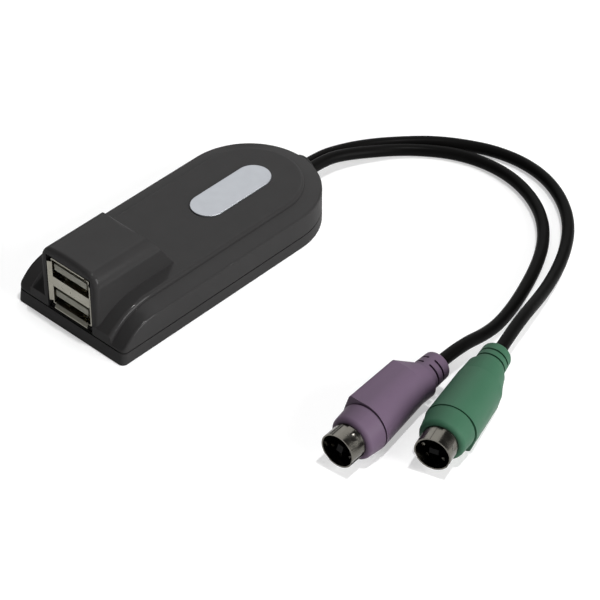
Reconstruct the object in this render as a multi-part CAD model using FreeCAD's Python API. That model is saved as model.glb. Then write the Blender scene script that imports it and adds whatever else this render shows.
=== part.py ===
import FreeCAD, Part
import math
import os

# Adapter that gives a keyboard plug and a mouse plug to a machine from two stacked USB sockets.
# A two-part moulded case carries a small circuit board. Two thin cords leave a grommet at the
# rounded rear and end in moulded six-pin round plugs, which lie on the table beside the case.
# Frame: millimetres, +Z up, sockets towards -Y, cords towards +Y, origin under the middle of the case.

V = FreeCAD.Vector

# Case
CASE_LENGTH = 80.6
CASE_WIDTH = 37.0
CASE_WALL = 1.6
CASE_FLOOR = 1.6
CASE_ROOF = 1.6
SPLIT_HEIGHT = 3.75
SIDE_HEIGHT = 9.7
BAND_WIDTH = 4.4
BAND_RISE = 1.0
PLATEAU_STEP = 1.1
FRONT_LEAN = 0.6
FRONT_CORNER = 1.5
INNER_CORNER = 0.5
BAND_SWOOP_LENGTH = 13.0
BAND_FRONT_RISE = 0.45
PLATEAU_SWOOP_LENGTH = 13.5
PLATEAU_FRONT_RISE = 2.85
SHOULDER_ROUND = 0.6
BAND_BREAK_ROUND = 14.0
PLATEAU_ROUND = 1.0
BOTTOM_ROUND = 0.3
SEAM_GROOVE = 0.35
RIM_HEIGHT = 0.6
RIM_GAP = 0.15

# Raised housing over the sockets
HUMP_CHEEK = 2.05
HUMP_ROOF_RISE = 2.58
HUMP_TOP_LENGTH = 18.6
HUMP_RAMP_LENGTH = 7.0
HUMP_CORNER = 4.0
HUMP_CROWN_RADIUS = 34.0
HUMP_LEAN = 0.3
HUMP_EDGE_ROUND = 1.2
RAMP_ROUND = 2.0

# Badge let into the top
BADGE_LENGTH = 25.2
BADGE_WIDTH = 9.2
BADGE_THICKNESS = 0.8
BADGE_PROUD = 0.35
BADGE_Y = 15.5
BADGE_GAP = 0.1

# Circuit board, and the screws that clamp it between the two halves of the case
BOARD_UNDERSIDE = 3.5
BOARD_THICKNESS = 1.6
BOARD_GAP = 0.5
BOARD_REAR_Y = 26.0
SCREW_X = 12.6
SCREW_FRONT_Y = -22.0
SCREW_REAR_Y = 18.5
SCREW_SHANK = 2.0
SCREW_HEAD = 3.8
SCREW_HEAD_HEIGHT = 1.3
SCREW_LENGTH = 7.0
SCREW_GAP = 0.15
SCREW_BITE_GAP = 0.03
SCREW_SINK = 0.3
RECESS_LENGTH = 2.5
RECESS_WIDTH = 0.8
RECESS_DEPTH = 0.7
BOSS_WALL = 1.4

# Stacked sockets
PORT_WIDTH = 12.5
PORT_HEIGHT = 5.12
PORT_PITCH = 8.0
USB_SHEET = 0.3
USB_DEPTH = 16.5
USB_SETBACK = 0.25
LIP_FLARE = 0.85
LIP_DEPTH = 0.55
LIP_CORNER_GAP = 1.8
OPENING_GAP = 0.25
DIVIDER_DEPTH = 9.5
TONGUE_WIDTH = 11.1
TONGUE_THICKNESS = 1.84
TONGUE_TOP_GAP = 0.95
TONGUE_SETBACK = 0.7
INSULATOR_GAP = 0.05
CONTACT_WIDTH = 1.1
CONTACT_THICKNESS = 0.25
CONTACT_SETBACK = 1.6
CONTACT_OUTER_X = 3.5
CONTACT_INNER_X = 1.0
SPRING_X = 3.2
SPRING_WIDTH = 1.8
SPRING_HEIGHT = 0.6
SPRING_START = 1.2
SPRING_CREST = 1.7
SPRING_LENGTH = 5.0

# Parts on the board
CHIP_LENGTH = 12.8
CHIP_WIDTH = 7.5
CHIP_HEIGHT = 2.2
CHIP_STANDOFF = 0.15
CHIP_MARK_RADIUS = 0.6
CHIP_MARK_DEPTH = 0.15
CHIP_Y = -4.0
LEADS_PER_SIDE = 10
LEAD_PITCH = 1.27
LEAD_WIDTH = 0.42
LEAD_THICKNESS = 0.25
LEAD_FOOT = 0.8
LEAD_REACH = 1.4
CRYSTAL_LENGTH = 11.0
CRYSTAL_WIDTH = 4.6
CRYSTAL_HEIGHT = 3.4
CRYSTAL_Y = 8.0
CAPACITOR_LENGTH = 3.5
CAPACITOR_WIDTH = 2.8
CAPACITOR_HEIGHT = 1.9
CAPACITOR_X = 9.0
CAPACITOR_Y = 8.0
RESISTOR_LENGTH = 2.0
RESISTOR_WIDTH = 1.25
RESISTOR_HEIGHT = 0.5
RESISTOR_COUNT = 4
RESISTOR_PITCH = 3.0
RESISTOR_X = 10.0
HEADER_WIDTH = 12.0
HEADER_DEPTH = 5.0
HEADER_HEIGHT = 3.8
HEADER_REAR_GAP = 1.0
WIRE_DIAMETER = 0.9
WIRE_PITCH = 1.3
WIRE_LOW_ROW = 1.0
WIRE_ROW_PITCH = 1.4
WIRES_PER_ROW = 2

# Grommet at the rear
GROMMET_HEIGHT = 4.1
GROMMET_NECK = 6.3
GROMMET_COLLAR = 8.0
GROMMET_FLANGE = 9.4
GROMMET_FLANGE_THICKNESS = 1.4
GROMMET_PROUD = 2.2
GROMMET_ROUND = 0.45
GROMMET_GAP = 0.1

# Cords
CORD_DIAMETER = 3.2
CORD_ARC_SHARE = 0.45
KEYBOARD_EXIT = V(1.8, 0.0, 0.6)
KEYBOARD_EXIT_RUN = 5.7
KEYBOARD_TAIL_RUN = 8.0
MOUSE_EXIT = V(-1.25, 0.0, -0.6)
MOUSE_EXIT_RUN = 6.5
MOUSE_TAIL_RUN = 9.0

# Round plugs, measured along the plug from the mouth of the metal shell
SHELL_RADIUS = 4.5
SHELL_WALL = 0.35
SHELL_SHOWN = 4.7
SHELL_BURIED = 8.0
SHELL_STEP = 0.1
SHELL_KEY_WIDTH = 1.5
SHELL_KEY_DEPTH = 0.2
SHELL_KEY_ANGLES = (-90.0, 25.0, 155.0)
DIMPLE_LENGTH = 2.2
DIMPLE_DEPTH = 0.2
DIMPLE_FROM_NOSE = 2.0
DIMPLE_ANGLES = (-20.0, 200.0)
NOSE_FRONT_RADIUS = 5.6
NOSE_REAR_RADIUS = 6.2
NOSE_LENGTH = 5.3
NOSE_ROUND = 1.2
NOSE_GROOVE_WIDTH = 0.5
NOSE_GROOVE_DEPTH = 0.4
GRIP_FRONT_RADIUS = 6.5
GRIP_FRONT_RISE = 0.3
GRIP_REAR_RADIUS = 5.9
GRIP_REAR_RISE = 1.3
GRIP_LENGTH = 16.5
GRIP_SLOPE = 4.0
GRIP_BEVEL_STEP = 0.1
GRIP_BEVEL_RISE = 2.4
GRIP_BEVEL_LENGTH = 0.7
FLAT_HEIGHT = 6.6
FLAT_WIDTH = 10.1
FLAT_CORNER = 1.0
SLOPE_END_RADIUS = 4.8
SLOPE_END_CORNER = 1.6
SLOPE_END_ANGLE = 52.0
SLOPE_END_SWELL = 0.03
RELIEF_RADIUS = 4.0
RELIEF_END_RADIUS = 3.7
RELIEF_LENGTH = 7.1
RELIEF_ROUND = 0.9
RELIEF_GROOVES = 3
RELIEF_GROOVE_WIDTH = 0.55
RELIEF_GROOVE_PITCH = 2.05
RELIEF_GROOVE_START = -0.2
RELIEF_CORE = 3.0
RELIEF_SPINE = 1.5
RELIEF_SPINE_HEIGHT = 0.8
PLUG_FIT_GAP = 0.05
PIN_DIAMETER = 0.85
PIN_CIRCLE = 3.1
PIN_ANGLES = (-120.0, -60.0, -175.0, -5.0, 130.0, 50.0)
PIN_SETBACK = 2.0
PIN_SEAT = 3.0
KEY_WIDTH = 2.3
KEY_HEIGHT = 1.5
KEY_SETBACK = 1.0
INSULATOR_SETBACK = 5.0

# Where the plugs lie: mouth of the shell in plan from the rear of the case, the turn of the plug
# from +Y towards -X, and its roll, which brings its flat from the top towards +X
KEYBOARD_PLUG_MOUTH = (79.5, -72.04)
KEYBOARD_PLUG_HEADING = 4.35
KEYBOARD_PLUG_ROLL = -75.0
MOUSE_PLUG_MOUTH = (95.9, -58.31)
MOUSE_PLUG_HEADING = 17.42
MOUSE_PLUG_ROLL = 180.0

# Worked out from the sizes above
FRONT_Y = -CASE_LENGTH / 2
FACE_Y = FRONT_Y + FRONT_LEAN
REAR_Y = CASE_LENGTH / 2
HALF_WIDTH = CASE_WIDTH / 2
BAND_TOP = SIDE_HEIGHT + BAND_RISE
PLATEAU_TOP = BAND_TOP + PLATEAU_STEP
BAND_FRONT_HEIGHT = SPLIT_HEIGHT + BAND_FRONT_RISE
PLATEAU_FRONT_HEIGHT = SPLIT_HEIGHT + PLATEAU_FRONT_RISE
BOARD_TOP = BOARD_UNDERSIDE + BOARD_THICKNESS
ROOF_UNDERSIDE = PLATEAU_TOP - CASE_ROOF
USB_FRONT_Y = FACE_Y + USB_SETBACK
USB_MOUTH_Y = USB_FRONT_Y + LIP_DEPTH
USB_REAR_Y = USB_FRONT_Y + USB_DEPTH
USB_WIDTH = PORT_WIDTH + 2 * USB_SHEET
USB_HEIGHT = PORT_PITCH + PORT_HEIGHT + 2 * USB_SHEET
USB_TOP = BOARD_TOP + USB_HEIGHT
OPENING_HALF_WIDTH = USB_WIDTH / 2 + LIP_FLARE + OPENING_GAP
OPENING_TOP = USB_TOP + LIP_FLARE + OPENING_GAP
HUMP_WIDTH = 2 * (OPENING_HALF_WIDTH + HUMP_CHEEK)
HUMP_HEIGHT = OPENING_TOP + HUMP_ROOF_RISE
PORT_FLOORS = (BOARD_TOP + USB_SHEET, BOARD_TOP + USB_SHEET + PORT_PITCH)
GROMMET_END_Y = REAR_Y + GROMMET_PROUD
SHELL_END = SHELL_SHOWN + SHELL_BURIED
NECK_RADIUS = SHELL_RADIUS - SHELL_STEP
NOSE_END = SHELL_SHOWN + NOSE_LENGTH
GRIP_START = NOSE_END + NOSE_GROOVE_WIDTH
GRIP_END = GRIP_START + GRIP_LENGTH
RELIEF_START = GRIP_END + GRIP_SLOPE
PLUG_LENGTH = RELIEF_START + RELIEF_LENGTH
SCREW_PLACES = [(x, y) for x in (-SCREW_X, SCREW_X) for y in (SCREW_FRONT_Y, SCREW_REAR_Y)]
PAST = 1.0
MATCH = 0.01


def box(x0, x1, y0, y1, z0, z1):
    """Block between two corners."""
    return Part.makeBox(x1 - x0, y1 - y0, z1 - z0, V(x0, y0, z0))


def post(radius, x, y, z0, z1):
    """Upright cylinder."""
    return Part.makeCylinder(radius, z1 - z0, V(x, y, z0))


def rod(radius, x, z, y0, y1):
    """Cylinder along Y."""
    return Part.makeCylinder(radius, y1 - y0, V(x, y0, z), V(0, 1, 0))


def line(a, b):
    """Straight edge between two points."""
    return Part.LineSegment(a, b).toShape()


def arc(a, middle, b):
    """Round edge through three points."""
    return Part.Arc(a, middle, b).toShape()


def prism(wire, direction):
    """Solid swept from a closed flat wire."""
    return Part.Face(wire).extrude(direction)


def joined(first, others):
    """One solid from pieces that touch."""
    whole = first
    for other in others:
        whole = whole.fuse(other)
    return whole.removeSplitter()


def without(shape, tools):
    """Shape with every tool cut away."""
    for tool in tools:
        shape = shape.cut(tool)
    return shape


def case_outline(inset, z, stretch=0.0):
    """Plan of the case, pulled in by inset: flat front, straight sides and a half-round rear."""
    half = HALF_WIDTH - inset
    front = FACE_Y + inset - stretch
    centre = REAR_Y - HALF_WIDTH
    corner = max(FRONT_CORNER - inset, INNER_CORNER)
    bulge = corner * (1 - math.sqrt(0.5))
    left_side = V(-half, front + corner, z)
    left_front = V(-half + corner, front, z)
    right_front = V(half - corner, front, z)
    right_side = V(half, front + corner, z)
    edges = [
        line(V(-half, centre, z), left_side),
        arc(left_side, V(-half + bulge, front + bulge, z), left_front),
        line(left_front, right_front),
        arc(right_front, V(half - bulge, front + bulge, z), right_side),
        line(right_side, V(half, centre, z)),
        arc(V(half, centre, z), V(0, centre + half, z), V(-half, centre, z)),
    ]
    return Part.Wire(edges)


def case_block(inset, z0, z1, stretch=0.0):
    """Solid of the case's plan between two heights."""
    return prism(case_outline(inset, z0, stretch), V(0, 0, z1 - z0))


def swoop_radius(length, drop):
    """Radius of the curve that leaves the level and falls by drop within length."""
    return (length ** 2 + drop ** 2) / (2 * drop)


def under_swoop(front_height, length, top, inset):
    """Space behind and below the curve in which the front of the case falls away."""
    y0 = FACE_Y + inset
    y1 = y0 + length
    z0 = front_height - inset
    z1 = top - inset
    radius = swoop_radius(length, z1 - z0)
    half_angle = math.asin(length / radius) / 2
    middle = V(0, y1 - radius * math.sin(half_angle), z1 - radius + radius * math.cos(half_angle))
    start = V(0, y0, z0)
    level = V(0, y1, z1)
    back = V(0, REAR_Y + PAST, z1)
    back_foot = V(0, REAR_Y + PAST, -PAST)
    foot = V(0, y0, -PAST)
    edges = [line(foot, start), arc(start, middle, level), line(level, back)]
    edges += [line(back, back_foot), line(back_foot, foot)]
    solid = prism(Part.Wire(edges), V(CASE_WIDTH + 2 * PAST, 0, 0))
    solid.translate(V(-HALF_WIDTH - PAST, 0, 0))
    return solid


def band_body():
    """Lower storey of the upper half: upright sides, and a band that rises gently inwards."""
    over = BAND_WIDTH / 2
    slope = BAND_RISE / BAND_WIDTH
    stretch = BAND_WIDTH + over + FRONT_CORNER
    low = case_outline(0, SIDE_HEIGHT, stretch)
    high = case_outline(BAND_WIDTH + over, SIDE_HEIGHT + (BAND_WIDTH + over) * slope, stretch)
    band = Part.makeLoft([low, high], True, True)
    sides = case_block(0, SPLIT_HEIGHT, SIDE_HEIGHT, stretch)
    body = joined(sides, [band])
    body = body.common(case_block(0, SPLIT_HEIGHT, PLATEAU_TOP))
    body = body.common(under_swoop(BAND_FRONT_HEIGHT, BAND_SWOOP_LENGTH, BAND_TOP, 0))
    body = body.makeFillet(BAND_BREAK_ROUND, [e for e in body.Edges if on_band_break(e)])
    return body.makeFillet(SHOULDER_ROUND, [e for e in body.Edges if on_shoulder(e)])


def on_band_break(edge):
    """True for the edges across the band where it starts to fall away to the front."""
    box_of = edge.BoundBox
    across = BAND_WIDTH / 2 < box_of.XLength < HALF_WIDTH
    return across and box_of.ZMin > SIDE_HEIGHT - MATCH and box_of.YMax < FACE_Y + BAND_SWOOP_LENGTH + MATCH


def on_shoulder(edge):
    """True for the edges between the upright sides and the sloping band."""
    box_of = edge.BoundBox
    level = box_of.ZLength < MATCH and abs(box_of.ZMin - SIDE_HEIGHT) < MATCH
    return level and box_of.YLength > SHOULDER_ROUND


def plateau_body(inset, drop):
    """Upper storey of the upper half, which falls away at the front in a curve of its own."""
    stretch = BAND_WIDTH + FRONT_CORNER
    block = case_block(BAND_WIDTH + inset, SPLIT_HEIGHT, PLATEAU_TOP + PAST, stretch)
    block = block.common(case_block(inset, SPLIT_HEIGHT, PLATEAU_TOP + PAST))
    return block.common(under_swoop(PLATEAU_FRONT_HEIGHT, PLATEAU_SWOOP_LENGTH, PLATEAU_TOP, drop))


def plateau_outside():
    """Upper storey with its rim rounded."""
    body = plateau_body(0, 0)
    rim = [e for e in body.Edges if e.BoundBox.ZMax > PLATEAU_TOP - MATCH and rim_side(e)]
    return body.makeFillet(PLATEAU_ROUND, rim)


def rim_side(edge):
    """True for edges that run round the sides and rear of the plateau."""
    half = HALF_WIDTH - BAND_WIDTH
    middle = edge.CenterOfMass
    return abs(abs(middle.x) - half) < MATCH or middle.y > REAR_Y - HALF_WIDTH


def hump_section(inset):
    """End view of the raised housing: upright walls, round shoulders and a slightly domed top."""
    half = HUMP_WIDTH / 2 - inset
    top = HUMP_HEIGHT - inset
    corner = HUMP_CORNER - inset
    crown = HUMP_CROWN_RADIUS - inset
    x = half - corner
    z = top - crown + math.sqrt((crown - corner) ** 2 - x ** 2)
    turn = math.atan2(z - top + crown, x)
    touch = V(x + corner * math.cos(turn), 0, z + corner * math.sin(turn))
    middle = V(x + corner * math.cos(turn / 2), 0, z + corner * math.sin(turn / 2))
    wall = V(half, 0, z)
    foot = V(half, 0, SPLIT_HEIGHT)
    edges = [
        line(mirrored(foot), foot),
        line(foot, wall),
        arc(wall, middle, touch),
        arc(touch, V(0, 0, top), mirrored(touch)),
        arc(mirrored(touch), mirrored(middle), mirrored(wall)),
        line(mirrored(wall), mirrored(foot)),
    ]
    return Part.Wire(edges)


def mirrored(point):
    """The same point on the other side of the middle plane."""
    return V(-point.x, point.y, point.z)


def hump_side(inset):
    """Side view of the raised housing: leaning front, level top, rounded brow and a ramp down."""
    top = HUMP_HEIGHT - inset
    rise = HUMP_HEIGHT - PLATEAU_TOP
    slope = math.atan2(rise, HUMP_RAMP_LENGTH)
    shift = inset * math.tan(slope / 2)
    brow = FACE_Y + HUMP_TOP_LENGTH - shift
    reach = (top - SPLIT_HEIGHT) / math.tan(slope)
    cut = RAMP_ROUND * math.tan(slope / 2)
    before = V(0, brow - cut, top)
    after = V(0, brow + cut * math.cos(slope), top - cut * math.sin(slope))
    half = slope / 2
    middle = V(0, brow - cut + RAMP_ROUND * math.sin(half), top - RAMP_ROUND * (1 - math.cos(half)))
    tail = V(0, brow + reach, SPLIT_HEIGHT)
    lean = HUMP_LEAN * (top - SPLIT_HEIGHT) / (HUMP_HEIGHT - SPLIT_HEIGHT)
    front_foot = V(0, FACE_Y + inset, SPLIT_HEIGHT)
    front_top = V(0, FACE_Y + inset + lean, top)
    edges = [
        line(front_foot, front_top),
        line(front_top, before),
        arc(before, middle, after),
        line(after, tail),
        line(tail, front_foot),
    ]
    return Part.Wire(edges)


def hump_body(inset):
    """Raised housing, pulled in by inset on every side."""
    across = prism(hump_section(inset), V(0, CASE_LENGTH + 2 * PAST, 0))
    across.translate(V(0, FRONT_Y - PAST, 0))
    along = prism(hump_side(inset), V(HUMP_WIDTH + 2 * PAST, 0, 0))
    along.translate(V(-HUMP_WIDTH / 2 - PAST, 0, 0))
    return across.common(along)


def hump_outside():
    """Raised housing with the edge round its front face eased."""
    body = hump_body(0)
    front = [e for e in body.Edges if on_hump_front(e)]
    return body.makeFillet(HUMP_EDGE_ROUND, front)


def on_hump_front(edge):
    """True for the edges round the leaning front face, save its foot."""
    middle = edge.CenterOfMass
    return edge.BoundBox.YMax < FACE_Y + HUMP_LEAN + MATCH and middle.z > SPLIT_HEIGHT + MATCH


def socket_opening():
    """Notch in the front wall for the flared mouth of the sockets, closed below by the lower half."""
    half = OPENING_HALF_WIDTH
    return box(-half, half, FRONT_Y - PAST, USB_MOUTH_Y + CASE_WALL, SPLIT_HEIGHT - PAST, OPENING_TOP)


def case_cavity():
    """Room inside the upper half."""
    low = case_block(CASE_WALL, SPLIT_HEIGHT - PAST, SIDE_HEIGHT - CASE_ROOF)
    low = low.common(under_swoop(BAND_FRONT_HEIGHT, BAND_SWOOP_LENGTH, BAND_TOP, CASE_WALL))
    high = plateau_body(CASE_WALL, CASE_WALL)
    high = high.common(case_block(CASE_WALL, SPLIT_HEIGHT - PAST, ROOF_UNDERSIDE))
    return joined(low, [high, hump_body(CASE_WALL)])


def grommet_hole():
    """Round hole through the rear wall, shared by both halves of the case."""
    radius = GROMMET_NECK / 2 + GROMMET_GAP
    return rod(radius, 0, GROMMET_HEIGHT, flange_rear() - GROMMET_GAP, REAR_Y + PAST)


def boss_radius():
    """Outside radius of a screw boss."""
    return SCREW_SHANK / 2 + SCREW_GAP + BOSS_WALL


def badge_outline(grow):
    """Plan of the badge: straight sides with half-round ends."""
    half = BADGE_WIDTH / 2 + grow
    straight = (BADGE_LENGTH - BADGE_WIDTH) / 2
    front = BADGE_Y - straight
    rear = BADGE_Y + straight
    edges = [
        line(V(half, front, 0), V(half, rear, 0)),
        arc(V(half, rear, 0), V(0, rear + half, 0), V(-half, rear, 0)),
        line(V(-half, rear, 0), V(-half, front, 0)),
        arc(V(-half, front, 0), V(0, front - half, 0), V(half, front, 0)),
    ]
    return Part.Wire(edges)


def badge_block(grow, z0, z1):
    """Solid of the badge's plan between two heights."""
    block = prism(badge_outline(grow), V(0, 0, z1 - z0))
    block.translate(V(0, 0, z0))
    return block


def badge():
    """Oval plate let into the top of the case."""
    top = PLATEAU_TOP + BADGE_PROUD
    plate = badge_block(0, top - BADGE_THICKNESS, top)
    edges = [e for e in plate.Edges if e.BoundBox.ZMin > top - MATCH]
    return plate.makeFillet(BADGE_PROUD / 2, edges)


def upper_shell():
    """Upper half of the case: sides, band, plateau and raised housing, hollow, with screw bosses."""
    outside = joined(band_body(), [plateau_outside(), hump_outside()])
    shell = outside.cut(case_cavity())
    high = ROOF_UNDERSIDE + CASE_ROOF / 2
    bosses = [post(boss_radius(), x, y, BOARD_TOP, high) for x, y in SCREW_PLACES]
    shell = joined(shell, [boss.common(outside) for boss in bosses])
    pilot = SCREW_SHANK / 2 + SCREW_BITE_GAP
    pilots = [post(pilot, x, y, BOARD_TOP - PAST, screw_tip() + SCREW_GAP) for x, y in SCREW_PLACES]
    rim_room = case_block(CASE_WALL / 2, SPLIT_HEIGHT - PAST, SPLIT_HEIGHT + RIM_HEIGHT + RIM_GAP)
    seat = badge_block(BADGE_GAP, PLATEAU_TOP + BADGE_PROUD - BADGE_THICKNESS, PLATEAU_TOP + PAST)
    return without(shell, pilots + [rim_room, socket_opening(), grommet_hole(), seat])


def lower_shell():
    """Lower half of the case: a tray with a rim that enters the upper half, and screw bosses."""
    outlines = [case_outline(0, 0, FRONT_LEAN), case_outline(0, SPLIT_HEIGHT)]
    tray = Part.makeLoft(outlines, True, True)
    bottom = [e for e in tray.Edges if e.BoundBox.ZMax < MATCH]
    tray = tray.makeFillet(BOTTOM_ROUND, bottom)
    groove = case_block(-PAST, SPLIT_HEIGHT - SEAM_GROOVE, SPLIT_HEIGHT + PAST)
    groove = groove.cut(case_block(SEAM_GROOVE, SPLIT_HEIGHT - PAST, SPLIT_HEIGHT + PAST))
    rim = case_block(CASE_WALL / 2 + RIM_GAP, SPLIT_HEIGHT - SEAM_GROOVE, SPLIT_HEIGHT + RIM_HEIGHT)
    tray = joined(tray.cut(groove), [rim])
    tray = tray.cut(case_block(CASE_WALL, CASE_FLOOR, SPLIT_HEIGHT + RIM_HEIGHT + PAST))
    bosses = [post(boss_radius(), x, y, 0, BOARD_UNDERSIDE) for x, y in SCREW_PLACES]
    tray = joined(tray, bosses)
    shank = SCREW_SHANK / 2 + SCREW_GAP
    holes = [post(shank, x, y, -PAST, SPLIT_HEIGHT + PAST) for x, y in SCREW_PLACES]
    head = SCREW_HEAD / 2 + SCREW_GAP
    holes += [post(head, x, y, -PAST, SCREW_SINK + SCREW_HEAD_HEIGHT) for x, y in SCREW_PLACES]
    return without(tray, holes + [grommet_hole()])


def screw_tip():
    """Height that the screws reach inside the upper bosses."""
    return SCREW_SINK + SCREW_HEAD_HEIGHT + SCREW_LENGTH


def case_screws():
    """Pan-headed screws, driven from below, with a cross recess."""
    seat = SCREW_SINK + SCREW_HEAD_HEIGHT
    screws = []
    for x, y in SCREW_PLACES:
        screw = post(SCREW_HEAD / 2, x, y, SCREW_SINK, seat)
        screw = joined(screw, [post(SCREW_SHANK / 2, x, y, seat - PAST / 2, screw_tip())])
        reach = RECESS_LENGTH / 2
        half = RECESS_WIDTH / 2
        top = SCREW_SINK + RECESS_DEPTH
        recess = [
            box(x - reach, x + reach, y - half, y + half, SCREW_SINK - PAST, top),
            box(x - half, x + half, y - reach, y + reach, SCREW_SINK - PAST, top),
        ]
        screws.append(without(screw, recess))
    return Part.makeCompound(screws)


def board_front():
    """Front edge of the board, where the inside of the falling band is a gap above it."""
    radius = swoop_radius(BAND_SWOOP_LENGTH, BAND_TOP - BAND_FRONT_HEIGHT)
    fall = BAND_TOP - CASE_WALL - BOARD_TOP - BOARD_GAP
    level = FACE_Y + CASE_WALL + BAND_SWOOP_LENGTH
    return level - math.sqrt(radius ** 2 - (radius - fall) ** 2)


def circuit_board():
    """Board that fills the width of the case and stops short of the grommet."""
    inset = CASE_WALL + BOARD_GAP
    front = board_front()
    board = case_block(inset, BOARD_UNDERSIDE, BOARD_TOP)
    board = board.common(box(-HALF_WIDTH, HALF_WIDTH, front, BOARD_REAR_Y, 0, HUMP_HEIGHT))
    holes = [post(SCREW_SHANK / 2 + SCREW_GAP, x, y, 0, HUMP_HEIGHT) for x, y in SCREW_PLACES]
    return without(board, holes)


def flared_lip(length, thickness):
    """Lip at a socket's mouth, seen from its end: it leans outwards as it comes forward."""
    points = [
        V(0, USB_MOUTH_Y, 0),
        V(0, USB_FRONT_Y, LIP_FLARE),
        V(0, USB_FRONT_Y, LIP_FLARE - thickness),
        V(0, USB_MOUTH_Y, -thickness),
    ]
    lip = prism(Part.makePolygon(points + points[:1]), V(length, 0, 0))
    lip.translate(V(-length / 2, 0, 0))
    return lip


def socket_lips():
    """Four flared lips with open corners."""
    middle = V(0, 0, BOARD_TOP + USB_HEIGHT / 2)
    lips = []
    spans = [(USB_WIDTH, USB_HEIGHT), (USB_HEIGHT, USB_WIDTH)] * 2
    for quarter, (span, across) in enumerate(spans):
        lip = flared_lip(span - LIP_CORNER_GAP, USB_SHEET)
        lip.translate(V(0, 0, across / 2))
        lip.rotate(V(0, 0, 0), V(0, 1, 0), 90 * quarter)
        lip.translate(middle)
        lips.append(lip)
    return lips


def port_spring(x, floor):
    """Bent spring finger that stands up from a port's floor."""
    y0 = USB_MOUTH_Y + SPRING_START
    points = [
        V(x - SPRING_WIDTH / 2, y0, floor - USB_SHEET / 2),
        V(x - SPRING_WIDTH / 2, y0, floor),
        V(x - SPRING_WIDTH / 2, y0 + SPRING_CREST, floor + SPRING_HEIGHT),
        V(x - SPRING_WIDTH / 2, y0 + SPRING_LENGTH, floor),
        V(x - SPRING_WIDTH / 2, y0 + SPRING_LENGTH, floor - USB_SHEET / 2),
    ]
    return prism(Part.makePolygon(points + points[:1]), V(SPRING_WIDTH, 0, 0))


def usb_shield():
    """Folded metal shield of the stacked sockets: two ports, a divider and a flared mouth."""
    half = PORT_WIDTH / 2
    shield = box(-USB_WIDTH / 2, USB_WIDTH / 2, USB_MOUTH_Y, USB_REAR_Y, BOARD_TOP, USB_TOP)
    divide = USB_FRONT_Y + DIVIDER_DEPTH
    low, high = PORT_FLOORS
    mouth = USB_MOUTH_Y - PAST
    rooms = [box(-half, half, mouth, divide + PAST, z, z + PORT_HEIGHT) for z in PORT_FLOORS]
    rooms.append(box(-half, half, divide, USB_REAR_Y - USB_SHEET, low, high + PORT_HEIGHT))
    slot_low = low + PORT_HEIGHT + USB_SHEET
    rooms.append(box(-half, half, USB_MOUTH_Y + USB_SHEET, divide + PAST, slot_low, high - USB_SHEET))
    shield = without(shield, rooms)
    springs = [port_spring(x, z) for x in (-SPRING_X, SPRING_X) for z in PORT_FLOORS]
    return joined(shield, socket_lips() + springs)


def tongue_top(floor):
    """Height of the upper face of the tongue in the port with this floor."""
    return floor + PORT_HEIGHT - TONGUE_TOP_GAP


def usb_insulator():
    """Plastic block at the back of the sockets, with a tongue into each port."""
    half = PORT_WIDTH / 2 - INSULATOR_GAP
    front = USB_FRONT_Y + DIVIDER_DEPTH + INSULATOR_GAP
    low, high = PORT_FLOORS
    rear = USB_REAR_Y - USB_SHEET - INSULATOR_GAP
    block = box(-half, half, front, rear, low, high + PORT_HEIGHT - INSULATOR_GAP)
    start = USB_FRONT_Y + TONGUE_SETBACK
    tongues = []
    for floor in PORT_FLOORS:
        top = tongue_top(floor)
        under = top - TONGUE_THICKNESS
        tongues.append(box(-TONGUE_WIDTH / 2, TONGUE_WIDTH / 2, start, front + PAST, under, top))
    return joined(block, tongues)


def usb_contacts():
    """Four contact strips under each tongue."""
    front = USB_FRONT_Y + CONTACT_SETBACK
    rear = USB_FRONT_Y + DIVIDER_DEPTH + INSULATOR_GAP
    half = CONTACT_WIDTH / 2
    places = (-CONTACT_OUTER_X, -CONTACT_INNER_X, CONTACT_INNER_X, CONTACT_OUTER_X)
    strips = []
    for floor in PORT_FLOORS:
        high = tongue_top(floor) - TONGUE_THICKNESS
        low = high - CONTACT_THICKNESS
        strips += [box(x - half, x + half, front, rear, low, high) for x in places]
    return Part.makeCompound(strips)


def controller_chip():
    """Moulded body of the controller, with a dished mark at its first lead."""
    low = BOARD_TOP + CHIP_STANDOFF
    half = CHIP_WIDTH / 2
    front = CHIP_Y - CHIP_LENGTH / 2
    body = box(-half, half, front, front + CHIP_LENGTH, low, low + CHIP_HEIGHT)
    mark_floor = low + CHIP_HEIGHT - CHIP_MARK_DEPTH
    mark = post(CHIP_MARK_RADIUS, -half + LEAD_PITCH, front + LEAD_PITCH, mark_floor, HUMP_HEIGHT)
    return body.cut(mark)


def chip_leads():
    """Bent leads that carry the controller on the board."""
    shoulder = BOARD_TOP + CHIP_STANDOFF + CHIP_HEIGHT / 2
    half = CHIP_WIDTH / 2
    knee = half + LEAD_REACH - LEAD_FOOT
    profile = [
        (half, shoulder),
        (knee, shoulder),
        (knee, BOARD_TOP + LEAD_THICKNESS),
        (half + LEAD_REACH, BOARD_TOP + LEAD_THICKNESS),
        (half + LEAD_REACH, BOARD_TOP),
        (knee - LEAD_THICKNESS, BOARD_TOP),
        (knee - LEAD_THICKNESS, shoulder - LEAD_THICKNESS),
        (half, shoulder - LEAD_THICKNESS),
    ]
    leads = []
    for side in (-1, 1):
        for index in range(LEADS_PER_SIDE):
            y = CHIP_Y + (index - (LEADS_PER_SIDE - 1) / 2) * LEAD_PITCH - LEAD_WIDTH / 2
            points = [V(side * x, y, z) for x, z in profile]
            leads.append(prism(Part.makePolygon(points + points[:1]), V(0, LEAD_WIDTH, 0)))
    return Part.makeCompound(leads)


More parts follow.
